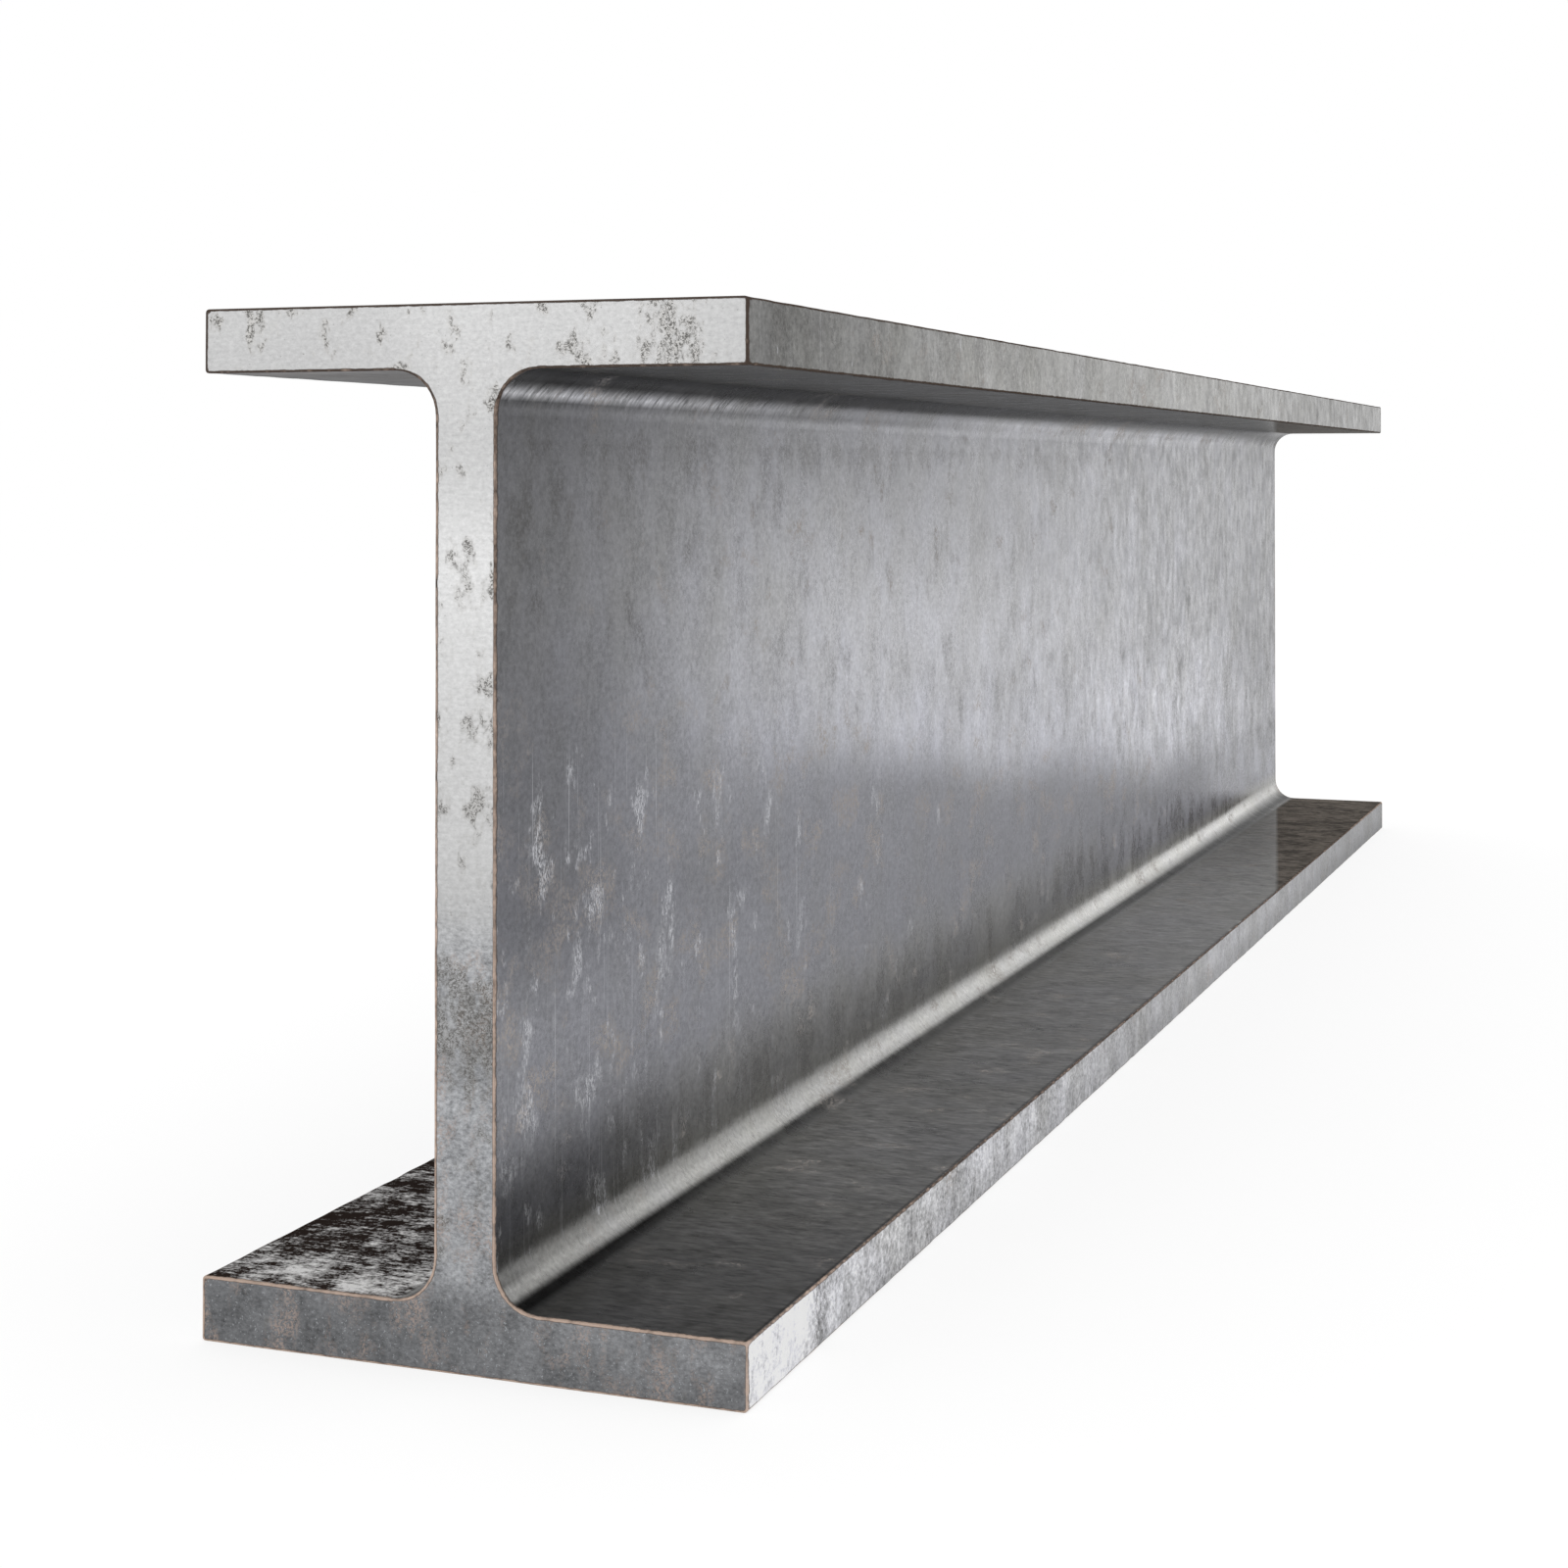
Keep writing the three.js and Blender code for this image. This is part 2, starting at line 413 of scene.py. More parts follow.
# Scuffs: most lie below the band, towards the near end.
web_scuff = -0.30 + 0.30 * smooth(0.03, -0.01, above) * smooth(0.25, -0.42, x)
scuffs_and_glints = np.where(on_web, web_scuff, -0.10 - 0.2 * smooth(-0.35, -0.15, x))
scuffs_and_glints = np.where(on_toe & ~upper, -0.30, scuffs_and_glints)
# On the lower flange's painted dark side, the same number says how soon painted bright glints break
# through it.
glints_sooner = 0.005 + 0.12 * smooth(-0.470, -0.490, x) * smooth(0.064, 0.050, y)
glints_sooner += 0.10 * smooth(-0.488, -0.496, x) * hump(0.030, 0.010, y)
glints_sooner -= 0.10 * hump(-0.442, 0.011, x) + 0.05 * smooth(0.050, 0.064, y)
scuffs_and_glints = np.where(dark_mirror_share > 0, glints_sooner, scuffs_and_glints)
# Rust blooms: most lie below the band too, but none at the very foot.
low_rust = smooth(0.03, -0.01, above) * smooth(0.040, 0.058, z)
web_rust = (0.09 + 0.03 * smooth(-0.15, -0.35, x)) * low_rust - 0.07 - 0.08 * smooth(0.10, 0.30, x)
bloomed = np.where(on_web, web_rust, 0.0)
bloomed = np.where(side < 0.5, np.where(inner_face, -0.02, -0.06), bloomed)
bloomed = np.where(on_toe, -0.05 - 0.25 * smooth(-0.44, -0.46, x), bloomed)

# Slanting brush strokes, in the upper fillet's near part.
brushed = in_high_fillet * smooth(-0.20, -0.40, x) * hump(55, 16, lean)

# How cool the steel's grey is: cool on the web, most of all below the band, where the cool is part of
# the painted dark reflection, and warm at its foot.
above_fillet = on_web & ~in_low_fillet
warm_foot = smooth(0.060, 0.036, z) * smooth(0.15, -0.10, x) * smooth(-0.48, -0.38, x)
cool = np.where(above_fillet, 0.98 - 0.30 * smooth(-0.02, 0.05, above), 0.12)
cool = np.where(in_high_fillet | (inner_face & upper & (y > 0)), 0.7, cool)
cool -= 0.55 * above_fillet * warm_foot
cool = np.where(on_toe & ~upper, 0.55 + 0.10 * smooth(-0.43, -0.46, x), cool)

# How thick a brown painted dark reflection lies on the flanges' inner faces on the -Y side, past the
# border that the material gives it. A thinner painted darkening without a border lies on the same side
# of the lower flange, and as painted shade under the upper flange's +Y side. Real dust lies in drifts on
# top.
dark_reflection = inner_face & ~in_fillet & (y < 0)
dark_reflection = dark_reflection * np.where(upper, 0.6, 0.9)
low_dark_reflection = (y < 0) * (0.10 + 0.20 * smooth(0.0, 0.40, x))
dust_and_dark_reflection = inner_face * np.where(upper, 0.35 * (y > 0), low_dark_reflection)
dust_and_dark_reflection = np.where(in_low_fillet | (in_high_fillet & (y < 0)), 0.0, dust_and_dark_reflection)
dust_and_dark_reflection = np.where(outer_face, 0.35 * smooth(0.45, 0.9, waves(rings, 0.11, 33)), dust_and_dark_reflection)

# The sawn ends: a painted reflection, bright down to the middle of the web, then darker and coarsely
# mottled, as the metal would mirror a dark floor, with a small painted highlight on the lower flange.
# The tone goes down the section: the upper flange, the web's bright part, its dark part, and the lower
# flange.
on_end = np.isclose(abs(spots[:, 0]), HALF_LENGTH)
end_y, end_z = spots[on_end, 1], spots[on_end, 2]
end_tone = 0.31 + 0.20 * smooth(0.210, 0.178, end_z) * smooth(0.016, 0.010, abs(end_y))
end_tone += 0.045 * smooth(0.0, -0.04, end_y) - 0.02 * smooth(0.0, 0.04, end_y)
end_tone += 0.03 * smooth(0.190, 0.205, end_z) * hump(0.0, 0.015, end_y)
end_tone += smooth(0.120, 0.070, end_z) * (0.28 - end_tone)
end_tone += 0.08 * smooth(0.072, 0.060, end_z)
end_tone += 0.035 * hump(0.086, 0.010, end_z) - 0.02 * hump(0.033, 0.008, end_z)
low_flange_tone = 0.17 + 0.05 * smooth(0.01, -0.02, end_y)
end_tone += smooth(0.026, 0.012, end_z) * (low_flange_tone - end_tone)
end_tone -= 0.04 * smooth(0.008, 0.003, end_z) * smooth(0.0, -0.03, end_y)
end_tone += 0.12 * hump(0.010, 0.004, end_z) * hump(-0.0585, 0.004, end_y)
end_dark_reflection = smooth(0.108, 0.088, end_z)
end_mottled = 0.5 + 1.3 * end_dark_reflection - 0.5 * smooth(0.024, 0.012, end_z)
# Stains and pits come in patches, and as above a number says how much sooner a patch starts.
end_stained = 0.04 * smooth(0.075, 0.045, end_z) - 0.4 * smooth(0.09, 0.11, end_z)
end_pitted = 0.05 * smooth(0.0, -0.04, end_y) - 0.02 * smooth(0.0, 0.04, end_y)
end_pitted += 0.04 * hump(0.150, 0.030, end_z) + 0.22 * smooth(0.100, 0.078, end_z)
end_pitted -= 0.24 * smooth(0.074, 0.058, end_z) + 0.10 * smooth(0.026, 0.012, end_z)


def store(name, skin, ends):
    """Keeps a number for each point of the mesh: the rolled skin's, or the sawn ends' on them."""
    values = np.zeros(len(spots), np.float32)
    values[:number.size] = np.broadcast_to(skin, x.shape).ravel()
    values[on_end] = ends
    mesh.attributes.new(name, "FLOAT", "POINT").data.foreach_set("value", values)


# How far each place is from the nearest edge, for the rust there: from a rolled corner in its radii,
# and from a sawn end's outline in edge breaks. Away from the outline the rust thins out slowly on
# the rolled skin. On the sawn face it reaches further in from the edges that face +Y.
FAR_FROM_EDGES = 9  # more than any rust reaches
across_gap = np.linalg.norm(rings[..., 1:] - outline, axis=-1)
skin_gap = np.hypot(HALF_LENGTH - abs(x), across_gap) / EDGE_BREAK
skin_gap = np.minimum(skin_gap, 0.5 + 0.2 * skin_gap)
skin_gap = np.minimum(skin_gap, (from_corner + TOE) / TOE)
to_outline = np.linalg.norm(spots[on_end, None, 1:] - outline, axis=-1)
end_gap = to_outline.min(1) * (1 - 0.28 * facing[to_outline.argmin(1), 0]) / EDGE_BREAK
store("edge", skin_gap.clip(0, FAR_FROM_EDGES), end_gap.clip(0, FAR_FROM_EDGES))

# On the sawn ends, the grain number says where the painted dark reflection lies, grimed how pitted and
# bloomed how stained.
store("tone", tone, end_tone)
store("mottled", mottled, end_mottled)
store("grain_and_end_reflection", grain_and_end_reflection, end_dark_reflection)
store("grimed", grimed, end_pitted)
store("bloomed", bloomed, end_stained)
store("scuffs_and_glints", scuffs_and_glints, 0.0)
store("brushed", brushed, 0.0)
store("dark_mirror_share", dark_mirror_share, 0.0)
store("cool", cool, 0.5)
store("dark_reflection", dark_reflection, 0.0)
store("dust_and_dark_reflection", dust_and_dark_reflection, 0.0)


def hex_colour(code):
    """The linear colour of an sRGB hex code, with alpha 1."""
    levels = np.array([int(code[i:i + 2], 16) / 255 for i in (1, 3, 5)])
    linear = np.where(levels <= 0.04045, levels / 12.92, ((levels + 0.055) / 1.055) ** 2.4)
    return (*linear.tolist(), 1.0)


def add(tree, kind, inputs=(), **settings):
    """Adds a node with its settings and links. The inputs are given in the node's own order, or by
    name, and each is a number, a colour or another node's output. It gives back the new node's
    first live output."""
    made = tree.nodes.new("ShaderNode" + kind)
    for name, value in settings.items():
        setattr(made, name, value)
    live = [socket for socket in made.inputs if socket.enabled]
    if isinstance(inputs, dict):
        live = [next(socket for socket in live if socket.name == name) for name in inputs]
        inputs = inputs.values()
    for socket, value in zip(live, inputs):
        if isinstance(value, bpy.types.NodeSocket):
            tree.links.new(value, socket)
        else:
            socket.default_value = value
    return next(socket for socket in made.outputs if socket.enabled)


def noise(tree, place, sizes, detail, roughness=0.6, distortion=0.0):
    """Random clouds whose largest are about as big as the three sizes: in millimetres, along the
    beam, across it and up."""
    spot = add(tree, "Mapping", {"Vector": place, "Scale": [1000 / size for size in sizes]})
    return add(tree, "TexNoise", {
        "Vector": spot, "Scale": 1.0, "Detail": detail, "Roughness": roughness, "Distortion": distortion})


def swung(tree, value, swing, more, onto=0.0):
    """Onto, plus the value's distance from a half, times swing and times more."""
    away = add(tree, "Math", (value, swing, -swing / 2), operation="MULTIPLY_ADD")
    return add(tree, "Math", (away, more, onto), operation="MULTIPLY_ADD")


def patches(tree, value, sooner, start, full):
    """Patches of a random field: nought where the field plus sooner is below start, and one where
    it is above full."""
    level = add(tree, "Math", (value, sooner), operation="ADD")
    return add(tree, "MapRange", (level, start, full))


RUST_DARK, RUST_PALE = "#423730", "#b5a092"


def rusty_edge(tree, place, colour):
    """Rust over the edges' roundings: dark high up and along the beam, and paler low on its ends.
    It gives back the new colour and how thick the rust is."""
    wander = noise(tree, place, (3.0, 3.0, 3.0), 2.0, 0.7)
    spot = add(tree, "SeparateXYZ", (place,)).node.outputs
    along = add(tree, "Math", (spot["X"],), operation="ABSOLUTE")
    ended = add(tree, "MapRange", (along, HALF_LENGTH - 0.003, HALF_LENGTH - 0.001))
    # How much further the rust reaches in from the edge than this place lies.
    reach = add(tree, "Math", (wander, 0.7, 0.42), operation="MULTIPLY_ADD")
    reach = add(tree, "Math", (ended, 0.14, reach), operation="MULTIPLY_ADD")
    edge = add(tree, "Attribute", attribute_name="edge").node.outputs["Fac"]
    depth = add(tree, "Math", (reach, edge), operation="SUBTRACT")
    share = add(tree, "MapRange", (depth, -0.12, 0.12, 0.0, 0.95))
    # It is paler low down and near the ends, and only where it is thick.
    pale = add(tree, "MapRange", (spot["Z"], 0.20, 0.04, -0.5, -0.15))
    dark_top = add(tree, "MapRange", (spot["Z"], 0.205, 0.238, 0.0, 0.5))
    pale = add(tree, "Math", (pale, dark_top), operation="SUBTRACT")
    pale = add(tree, "Math", (ended, 0.15, pale), operation="MULTIPLY_ADD")
    pale = add(tree, "Math", (wander, 1.2, pale), operation="MULTIPLY_ADD")
    near_end = add(tree, "MapRange", (along, HALF_LENGTH - 0.14, HALF_LENGTH - 0.04, 0.0, 0.35))
    pale = add(tree, "Math", (pale, near_end), operation="ADD")
    pale = add(tree, "MapRange", (pale, 0.3, 1.0))
    thick = add(tree, "MapRange", (depth, 0.05, 0.30))
    pale = add(tree, "Math", (pale, thick), operation="MULTIPLY")
    rust = add(tree, "Mix", (pale, hex_colour(RUST_DARK), hex_colour(RUST_PALE)), data_type="RGBA")
    return add(tree, "Mix", (share, colour, rust), data_type="RGBA"), share


# Hot-rolled steel under thin mill scale: a satin metal that gives back a blurred, dark picture of
# the room, softly clouded and finely grained. Handling scuffed the scale off in small upright
# patches, and rust blooms in specks on its lower part. A pixel of the picture covers 0.2 mm of the
# near end and 0.6 mm of the far end. The grain and the grit of real scale and rust are finer than
# that, so they are drawn about a millimetre wide.
STEEL_WARM, STEEL_COOL = "#faf9f4", "#f1f2fc"
GRIME, RUST_BLOOM, BARE = "#45423f", "#a8a09a", "#d6d7dc"
DARK_MIRROR_BLACK, DARK_MIRROR_GLINT = "#2a2320", "#dcdbda"
PAINTED_REFLECTION_DARK, PAINTED_REFLECTION_PALE = "#3d3833", "#716961"
SPECULAR_TINT = (0.6, 0.6, 0.6, 1.0)  # holds back the shine that metal has at a grazing angle

steel = bpy.data.materials.new("mill_scaled_steel")
steel.use_nodes = True
tree = steel.node_tree
place = add(tree, "TexCoord").node.outputs["Object"]
here = {
    name: add(tree, "Attribute", attribute_name=name).node.outputs["Fac"]
    for name in (
        "tone", "mottled", "grain_and_end_reflection", "grimed", "scuffs_and_glints", "bloomed", "brushed", "dark_mirror_share", "cool",
        "dark_reflection", "dust_and_dark_reflection")}

# Clouds, strokes of many sizes that cross the rolling direction, flakes and a fine grain. In the
# upper fillet there are brush strokes too, 1.4 mm wide and 7 mm long, that lean by 28 degrees.
BRUSH_STROKE = (0.0014, 1.0, 0.0070)
BRUSH_LEAN = (0.0, math.radians(28), 0.0)
clouds = noise(tree, place, (24, 30, 30), 3.0)
strokes = noise(tree, place, (15, 24, 28), 5.0, 0.85)
flakes = noise(tree, place, (6, 10, 9), 3.0, 0.65)
flaked = add(tree, "MapRange", (here["mottled"], 0.85, 1.70))
grain = noise(tree, place, (1.4, 5, 1.2), 2.0, 0.7)
grit = noise(tree, place, (0.7, 0.9, 0.9), 2.0, 0.7)
leaning = {"Vector": place, "Rotation": BRUSH_LEAN, "Scale": BRUSH_STROKE}
leaning = add(tree, "Mapping", leaning, vector_type="TEXTURE")
brush = add(tree, "TexNoise", {"Vector": leaning, "Scale": 1.0, "Detail": 2.0, "Roughness": 0.7})
uneven = swung(tree, clouds, 0.5, here["mottled"], 1.0)
uneven = swung(tree, strokes, 1.2, here["mottled"], uneven)
uneven = swung(tree, flakes, 1.1, flaked, uneven)
uneven = swung(tree, grain, 0.9, here["grain_and_end_reflection"], uneven)
uneven = swung(tree, brush, 3.6, here["brushed"], uneven)
uneven = add(tree, "Math", (uneven, 0.15), operation="MAXIMUM")
bright = add(tree, "Math", (here["tone"], uneven), operation="MULTIPLY")
cooler = swung(tree, clouds, 0.8, 1.0, here["cool"])
tint = add(tree, "Mix", (cooler, hex_colour(STEEL_WARM), hex_colour(STEEL_COOL)), data_type="RGBA")
colour = add(tree, "Mix", (1.0, tint, bright), data_type="RGBA", blend_type="MULTIPLY")

# Dark grime in upright patches of grit, and of curled fibres where it lies thickest.
grime = patches(tree, noise(tree, place, (10, 20, 17), 2.0), here["grimed"], 0.56, 0.70)
fibres = noise(tree, place, (0.6, 1.8, 1.7), 2.0, distortion=1.2)
curls = add(tree, "MapRange", (fibres, 0.50, 0.56))
thickest = add(tree, "MapRange", (here["grimed"], 0.15, 0.30, 0.0, 0.8))
curls = add(tree, "Math", (curls, thickest), operation="MULTIPLY")
gritty = add(tree, "MapRange", (grit, 0.38, 0.60, 0.0, 0.42))
flecks = add(tree, "Math", (curls, gritty), operation="MAXIMUM")
grime = add(tree, "Math", (grime, flecks), operation="MULTIPLY")
colour = add(tree, "Mix", (grime, colour, hex_colour(GRIME)), data_type="RGBA")

# Rust specks in broader patches, which show less where the steel is dark.
bloom = patches(tree, noise(tree, place, (17, 20, 12), 3.0), here["bloomed"], 0.55, 0.68)
specks = add(tree, "MapRange", (grit, 0.47, 0.57, 0.0, 0.85))
shown = add(tree, "MapRange", (here["tone"], 0.0, 0.35))
bloom = add(tree, "Math", (bloom, specks), operation="MULTIPLY")
bloom = add(tree, "Math", (bloom, shown), operation="MULTIPLY")
colour = add(tree, "Mix", (bloom, colour, hex_colour(RUST_BLOOM)), data_type="RGBA")

# Scuffs: torn upright patches of curled fibres and grit, and lone fibres and hairs between them.
torn = noise(tree, place, (8.5, 9, 15), 4.0, 0.65)
tears = noise(tree, place, (13, 13, 23), 4.0, 0.65)
small_scuff = patches(tree, torn, here["scuffs_and_glints"], 0.60, 0.68)
scuff = patches(tree, tears, here["scuffs_and_glints"], 0.565, 0.65)
scuff = add(tree, "Math", (scuff, small_scuff), operation="MAXIMUM")
fibrous = add(tree, "MapRange", (fibres, 0.49, 0.58))
gritty = add(tree, "MapRange", (grit, 0.54, 0.62, 0.0, 0.5))
fibrous = add(tree, "Math", (fibrous, gritty), operation="MAXIMUM")
fibrous = add(tree, "Math", (fibrous, 0.8), operation="MULTIPLY")
scuff = add(tree, "Math", (scuff, fibrous), operation="MULTIPLY")
hairs = noise(tree, place, (0.5, 20, 50), 0.0)
hairs = add(tree, "MapRange", (hairs, 0.74, 0.84, 0.0, 0.35))
lone = add(tree, "MapRange", (fibres, 0.72, 0.78, 0.0, 0.45))
lone = add(tree, "Math", (lone, hairs), operation="MAXIMUM")
handled = add(tree, "MapRange", (here["scuffs_and_glints"], -0.15, 0.0))
lone = add(tree, "Math", (handled, lone), operation="MULTIPLY")
scuff = add(tree, "Math", (scuff, lone), operation="MAXIMUM")
colour = add(tree, "Mix", (scuff, colour, hex_colour(BARE)), data_type="RGBA")

# A painted dark reflection on the lower flange, broken by painted bright glints in patches.
worn = swung(tree, grain, 1.0, 1.0, torn)
worn = swung(tree, grit, 0.8, 1.0, worn)
worn = swung(tree, clouds, 0.8, 1.0, worn)
worn = patches(tree, worn, here["scuffs_and_glints"], 0.44, 0.84)
unglinted = add(tree, "Math", (1.0, worn), operation="SUBTRACT")
dark_mirror = add(tree, "Math", (here["dark_mirror_share"], unglinted), operation="MULTIPLY")
dark_mirror_colour = add(tree, "Mix", (worn, hex_colour(DARK_MIRROR_BLACK), hex_colour(DARK_MIRROR_GLINT)), data_type="RGBA")
colour = add(tree, "Mix", (here["dark_mirror_share"], colour, dark_mirror_colour), data_type="RGBA")

# A painted dark reflection, matt and brown, of the room beyond the web's far end. It lies past a sharp
# border that slants across the flange, from the far end at the web to 0.35 m nearer at the toe.
BORDER_SLANT = 0.174  # how far the border goes across for each metre along
BORDER_START = HALF_LENGTH + HALF_WEB / BORDER_SLANT
spot = add(tree, "SeparateXYZ", (place,)).node.outputs
border = add(tree, "Math", (spot["Y"], 1 / BORDER_SLANT, BORDER_START), operation="MULTIPLY_ADD")
past = add(tree, "Math", (spot["X"], border), operation="SUBTRACT")
past = add(tree, "MapRange", (past, -0.006, 0.008))
dark_reflection_cover = add(tree, "Math", (here["dark_reflection"], past), operation="MULTIPLY")
dark_reflection_cover = add(tree, "Math", (dark_reflection_cover, here["dust_and_dark_reflection"]), operation="MAXIMUM")
streaks = swung(tree, grain, 1.0, 1.0, strokes)
streaks = add(tree, "MapRange", (streaks, 0.35, 0.65))
dark_reflection_colour = add(tree, "Mix", (streaks, hex_colour(PAINTED_REFLECTION_DARK), hex_colour(PAINTED_REFLECTION_PALE)), data_type="RGBA")
colour = add(tree, "Mix", (dark_reflection_cover, colour, dark_reflection_colour), data_type="RGBA")

# Rust, rust blooms and the painted dark reflections are no metal. They are rougher than the scale,
# and have no gloss.
colour, matt = rusty_edge(tree, place, colour)
for cover in (dark_reflection_cover, bloom, dark_mirror):
    matt = add(tree, "Math", (matt, cover), operation="MAXIMUM")
metal = add(tree, "Math", (1.0, matt), operation="SUBTRACT")
rough = add(tree, "Math", (strokes, 0.45, 0.07), operation="MULTIPLY_ADD")
rough = swung(tree, flakes, -0.27, flaked, rough)
rough = add(tree, "Math", (matt, 0.4, rough), operation="MULTIPLY_ADD")
bump = add(tree, "Bump", {"Height": grain, "Strength": 0.15, "Distance": 0.0002})
shader = tree.nodes["Principled BSDF"]
for name, value in {"Base Color": colour, "Metallic": metal, "Roughness": rough, "Normal": bump}.items():
    tree.links.new(value, shader.inputs[name])
shader.inputs["Specular Tint"].default_value = SPECULAR_TINT
shader.inputs["Specular IOR Level"].default_value = 0.0
mesh.materials.append(steel)

# Sawn steel, a few months old: bright bare metal, finely lined by the saw and pitted, and lower down a
# painted dark reflection, mottled, and stained. The saw's lines and the pits of real steel
# are finer than a pixel of the picture too, so they are drawn half a millimetre wide or more.
SAWN_BRIGHT, SAWN_REFLECTION_TINT = "#f9f9f9", "#eff1f5"
STAIN, NICK, SHADE, PIT = "#ae9b90", "#c8ccd0", "#8a867f", "#4e4c49"
FLAT = 1000.0  # millimetres along the beam: so long that a pattern changes only across and up

sawn = bpy.data.materials.new("sawn_steel")
sawn.use_nodes = True
tree = sawn.node_tree
place = add(tree, "TexCoord").node.outputs["Object"]
here = {
    name: add(tree, "Attribute", attribute_name=name).node.outputs["Fac"]
    for name in ("tone", "mottled", "grain_and_end_reflection", "grimed", "bloomed")}
# Where the painted dark reflection lies on the sawn face.
dark_reflection_zone = here["grain_and_end_reflection"]
clouds = noise(tree, place, (10, 9, 9), 5.0, 0.65)
crust = noise(tree, place, (1.0, 1.4, 0.9), 3.0, 0.7)
lines = noise(tree, place, (FLAT, 5, 0.6), 1.0)
uneven = swung(tree, clouds, 1.5, dark_reflection_zone, 1.0)
uneven = swung(tree, crust, 1.2, here["mottled"], uneven)
uneven = swung(tree, lines, 0.14, 1.0, uneven)
uneven = add(tree, "Math", (uneven, 0.25), operation="MAXIMUM")
bright = add(tree, "Math", (here["tone"], uneven), operation="MULTIPLY")
tint = add(tree, "Mix", (dark_reflection_zone, hex_colour(SAWN_BRIGHT), hex_colour(SAWN_REFLECTION_TINT)), data_type="RGBA")
colour = add(tree, "Mix", (1.0, tint, bright), data_type="RGBA", blend_type="MULTIPLY")

# Rust specks in upright patches, and bright nicks in the painted dark reflection.
grit = noise(tree, place, (0.6, 0.6, 0.6), 2.0, 0.7)
stain = patches(tree, noise(tree, place, (FLAT, 7, 16), 2.0), here["bloomed"], 0.53, 0.68)
specks = add(tree, "MapRange", (grit, 0.47, 0.57, 0.0, 0.55))
stain = add(tree, "Math", (stain, specks), operation="MULTIPLY")
colour = add(tree, "Mix", (stain, colour, hex_colour(STAIN)), data_type="RGBA")
nicks = add(tree, "MapRange", (grit, 0.37, 0.31, 0.0, 0.35))
nicks = add(tree, "Math", (dark_reflection_zone, nicks), operation="MULTIPLY")
colour = add(tree, "Mix", (nicks, colour, hex_colour(NICK)), data_type="RGBA")

# Dark pits and curled cracks in shaded patches, and lone pits between them.
patch = noise(tree, place, (FLAT, 5, 8), 3.0)
shade = patches(tree, patch, here["grimed"], 0.53, 0.68)
shade = add(tree, "Math", (shade, 0.30), operation="MULTIPLY")
colour = add(tree, "Mix", (shade, colour, hex_colour(SHADE)), data_type="RGBA")
cracks = noise(tree, place, (1.8, 1.8, 1.8), 2.0, distortion=1.5)
cracks = add(tree, "Math", (cracks, 0.5), operation="SUBTRACT")
cracks = add(tree, "Math", (cracks,), operation="ABSOLUTE")
cracks = add(tree, "MapRange", (cracks, 0.040, 0.012))
dots = add(tree, "MapRange", (grit, 0.54, 0.60))
holes = add(tree, "Math", (cracks, dots), operation="MAXIMUM")
pits = patches(tree, patch, here["grimed"], 0.58, 0.66)
pits = add(tree, "Math", (pits, holes), operation="MULTIPLY")
lone = add(tree, "MapRange", (grit, 0.70, 0.76, 0.0, 0.7))
pits = add(tree, "Math", (pits, lone), operation="MAXIMUM")
pits = add(tree, "Math", (pits, 0.72), operation="MULTIPLY")
colour = add(tree, "Mix", (pits, colour, hex_colour(PIT)), data_type="RGBA")

# Rust, pits and stains are no metal. They are rougher than the sawn face, and have no gloss.
colour, matt = rusty_edge(tree, place, colour)
for cover in (pits, stain):
    matt = add(tree, "Math", (matt, cover), operation="MAXIMUM")
metal = add(tree, "Math", (1.0, matt), operation="SUBTRACT")
rough = add(tree, "Math", (matt, 0.4, 0.32), operation="MULTIPLY_ADD")
shader = tree.nodes["Principled BSDF"]
for name, value in {"Base Color": colour, "Metallic": metal, "Roughness": rough}.items():
    tree.links.new(value, shader.inputs[name])
shader.inputs["Specular IOR Level"].default_value = 0.0
mesh.materials.append(sawn)

beam = bpy.data.objects.new("rolled_beam", mesh)
scene.collection.objects.link(beam)
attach(beam, "root")
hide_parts("i_beam")


# FLOOR. A white matt paper sheet that the beam lies on. Where it is seen, directly or in the metal,
# most of its white is its own light, so that the beam's shadow on it stays faint.
FLOOR_REACH = 20.0  # metres from the middle to each side
FLOOR_OWN_WHITE = 0.75  # share of the white that no shadow takes away
PAPER = "#ffffff"

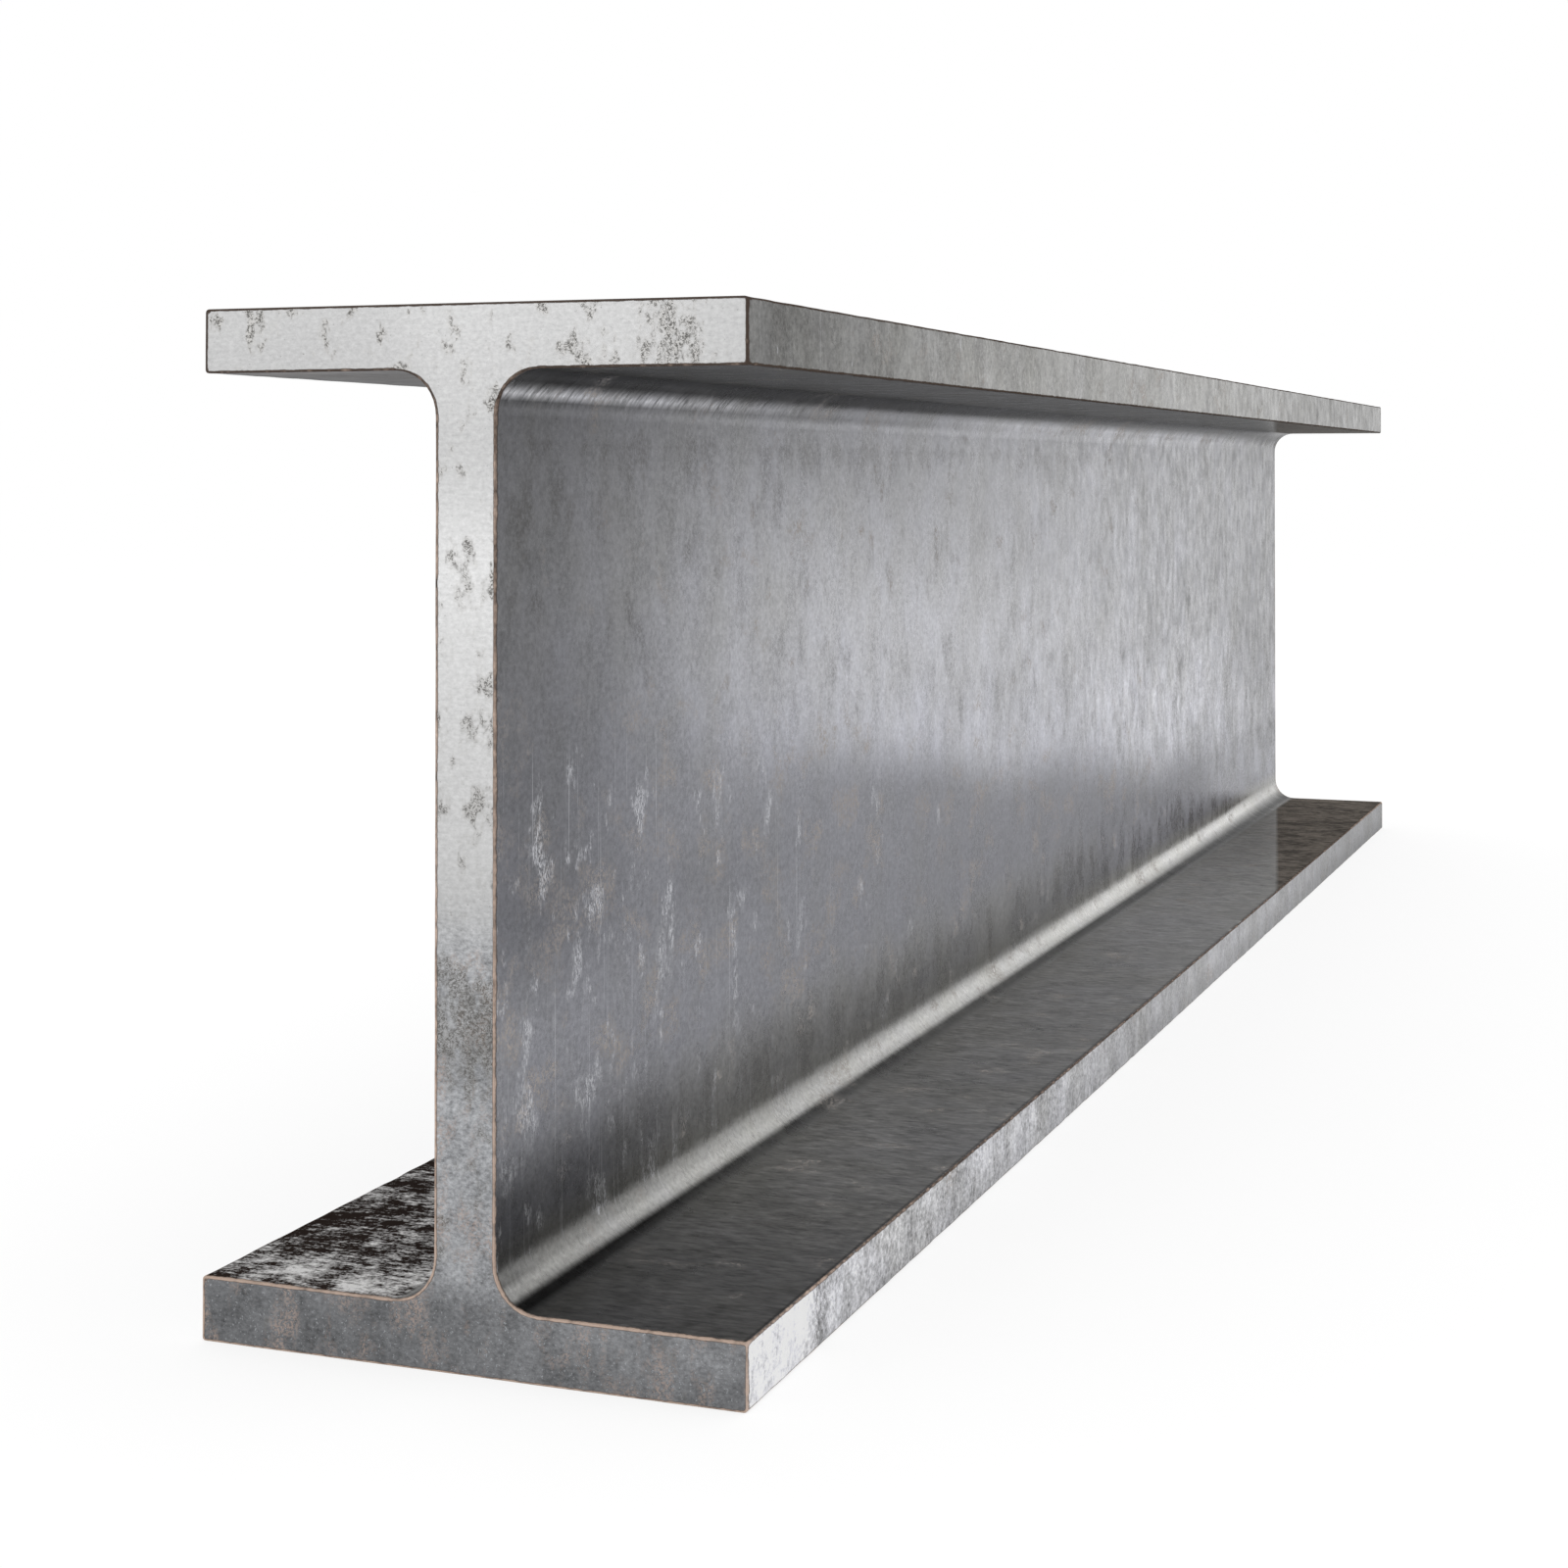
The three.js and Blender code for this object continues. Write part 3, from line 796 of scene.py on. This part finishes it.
floor_mesh = bpy.data.meshes.new("floor")
reach = FLOOR_REACH * np.array([(-1, -1, 0), (1, -1, 0), (1, 1, 0), (-1, 1, 0)])
floor_mesh.from_pydata(reach, [], [(0, 1, 2, 3)])
floor = bpy.data.objects.new("floor", floor_mesh)
scene.collection.objects.link(floor)

paper = bpy.data.materials.new("white_paper")
paper.use_nodes = True
tree = paper.node_tree
rays = add(tree, "LightPath").node.outputs
seen = rays["Is Camera Ray"]
for ray in ("Is Glossy Ray", "Is Transmission Ray"):
    seen = add(tree, "Math", (seen, rays[ray]), operation="MAXIMUM")
own = add(tree, "Math", (seen, FLOOR_OWN_WHITE), operation="MULTIPLY")
lit = add(tree, "BsdfDiffuse", {"Color": hex_colour(PAPER)})
glow = add(tree, "Emission", {"Color": hex_colour(PAPER), "Strength": 1.0})
sheet = add(tree, "MixShader", (own, lit, glow))
tree.links.new(sheet, tree.nodes["Material Output"].inputs["Surface"])
floor_mesh.materials.append(paper)


# LIGHT. A white room, and three soft boxes: a low one beyond the far end that shines along the web,
# one beyond the near end on its +Y side for the sawn face, and a broad one overhead.
world = bpy.data.worlds.new("white_room")
world.use_nodes = True
sky = world.node_tree.nodes["Background"]
sky.inputs["Color"].default_value = (1.0, 1.0, 1.0, 1.0)
sky.inputs["Strength"].default_value = 1.0
scene.world = world


def soft_box(name, place, aim, wide, tall, brightness):
    """A rectangular lamp at place, turned to aim. Its watts are pi times its area times its
    brightness, where 1 is as bright as the white room."""
    lamp = bpy.data.lights.new(name, "AREA")
    lamp.shape, lamp.size, lamp.size_y = "RECTANGLE", wide, tall
    lamp.energy = math.pi * wide * tall * brightness
    holder = bpy.data.objects.new(name, lamp)
    scene.collection.objects.link(holder)
    holder.location = place
    holder.rotation_euler = (Vector(aim) - Vector(place)).to_track_quat("-Z", "Y").to_euler()
    holder.visible_camera = False


soft_box("side_box", (1.9, -0.40, 0.26), (0.1, 0.0, 0.12), 0.70, 0.50, 0.9)
soft_box("end_box", (-2.6, 1.3, 0.60), (-0.5, 0.0, 0.15), 1.2, 0.8, 2.5)
soft_box("top_box", (0.2, -0.3, 2.2), (0.0, 0.0, 0.10), 2.0, 1.2, 1.2)

scene.view_settings.view_transform = "Standard"
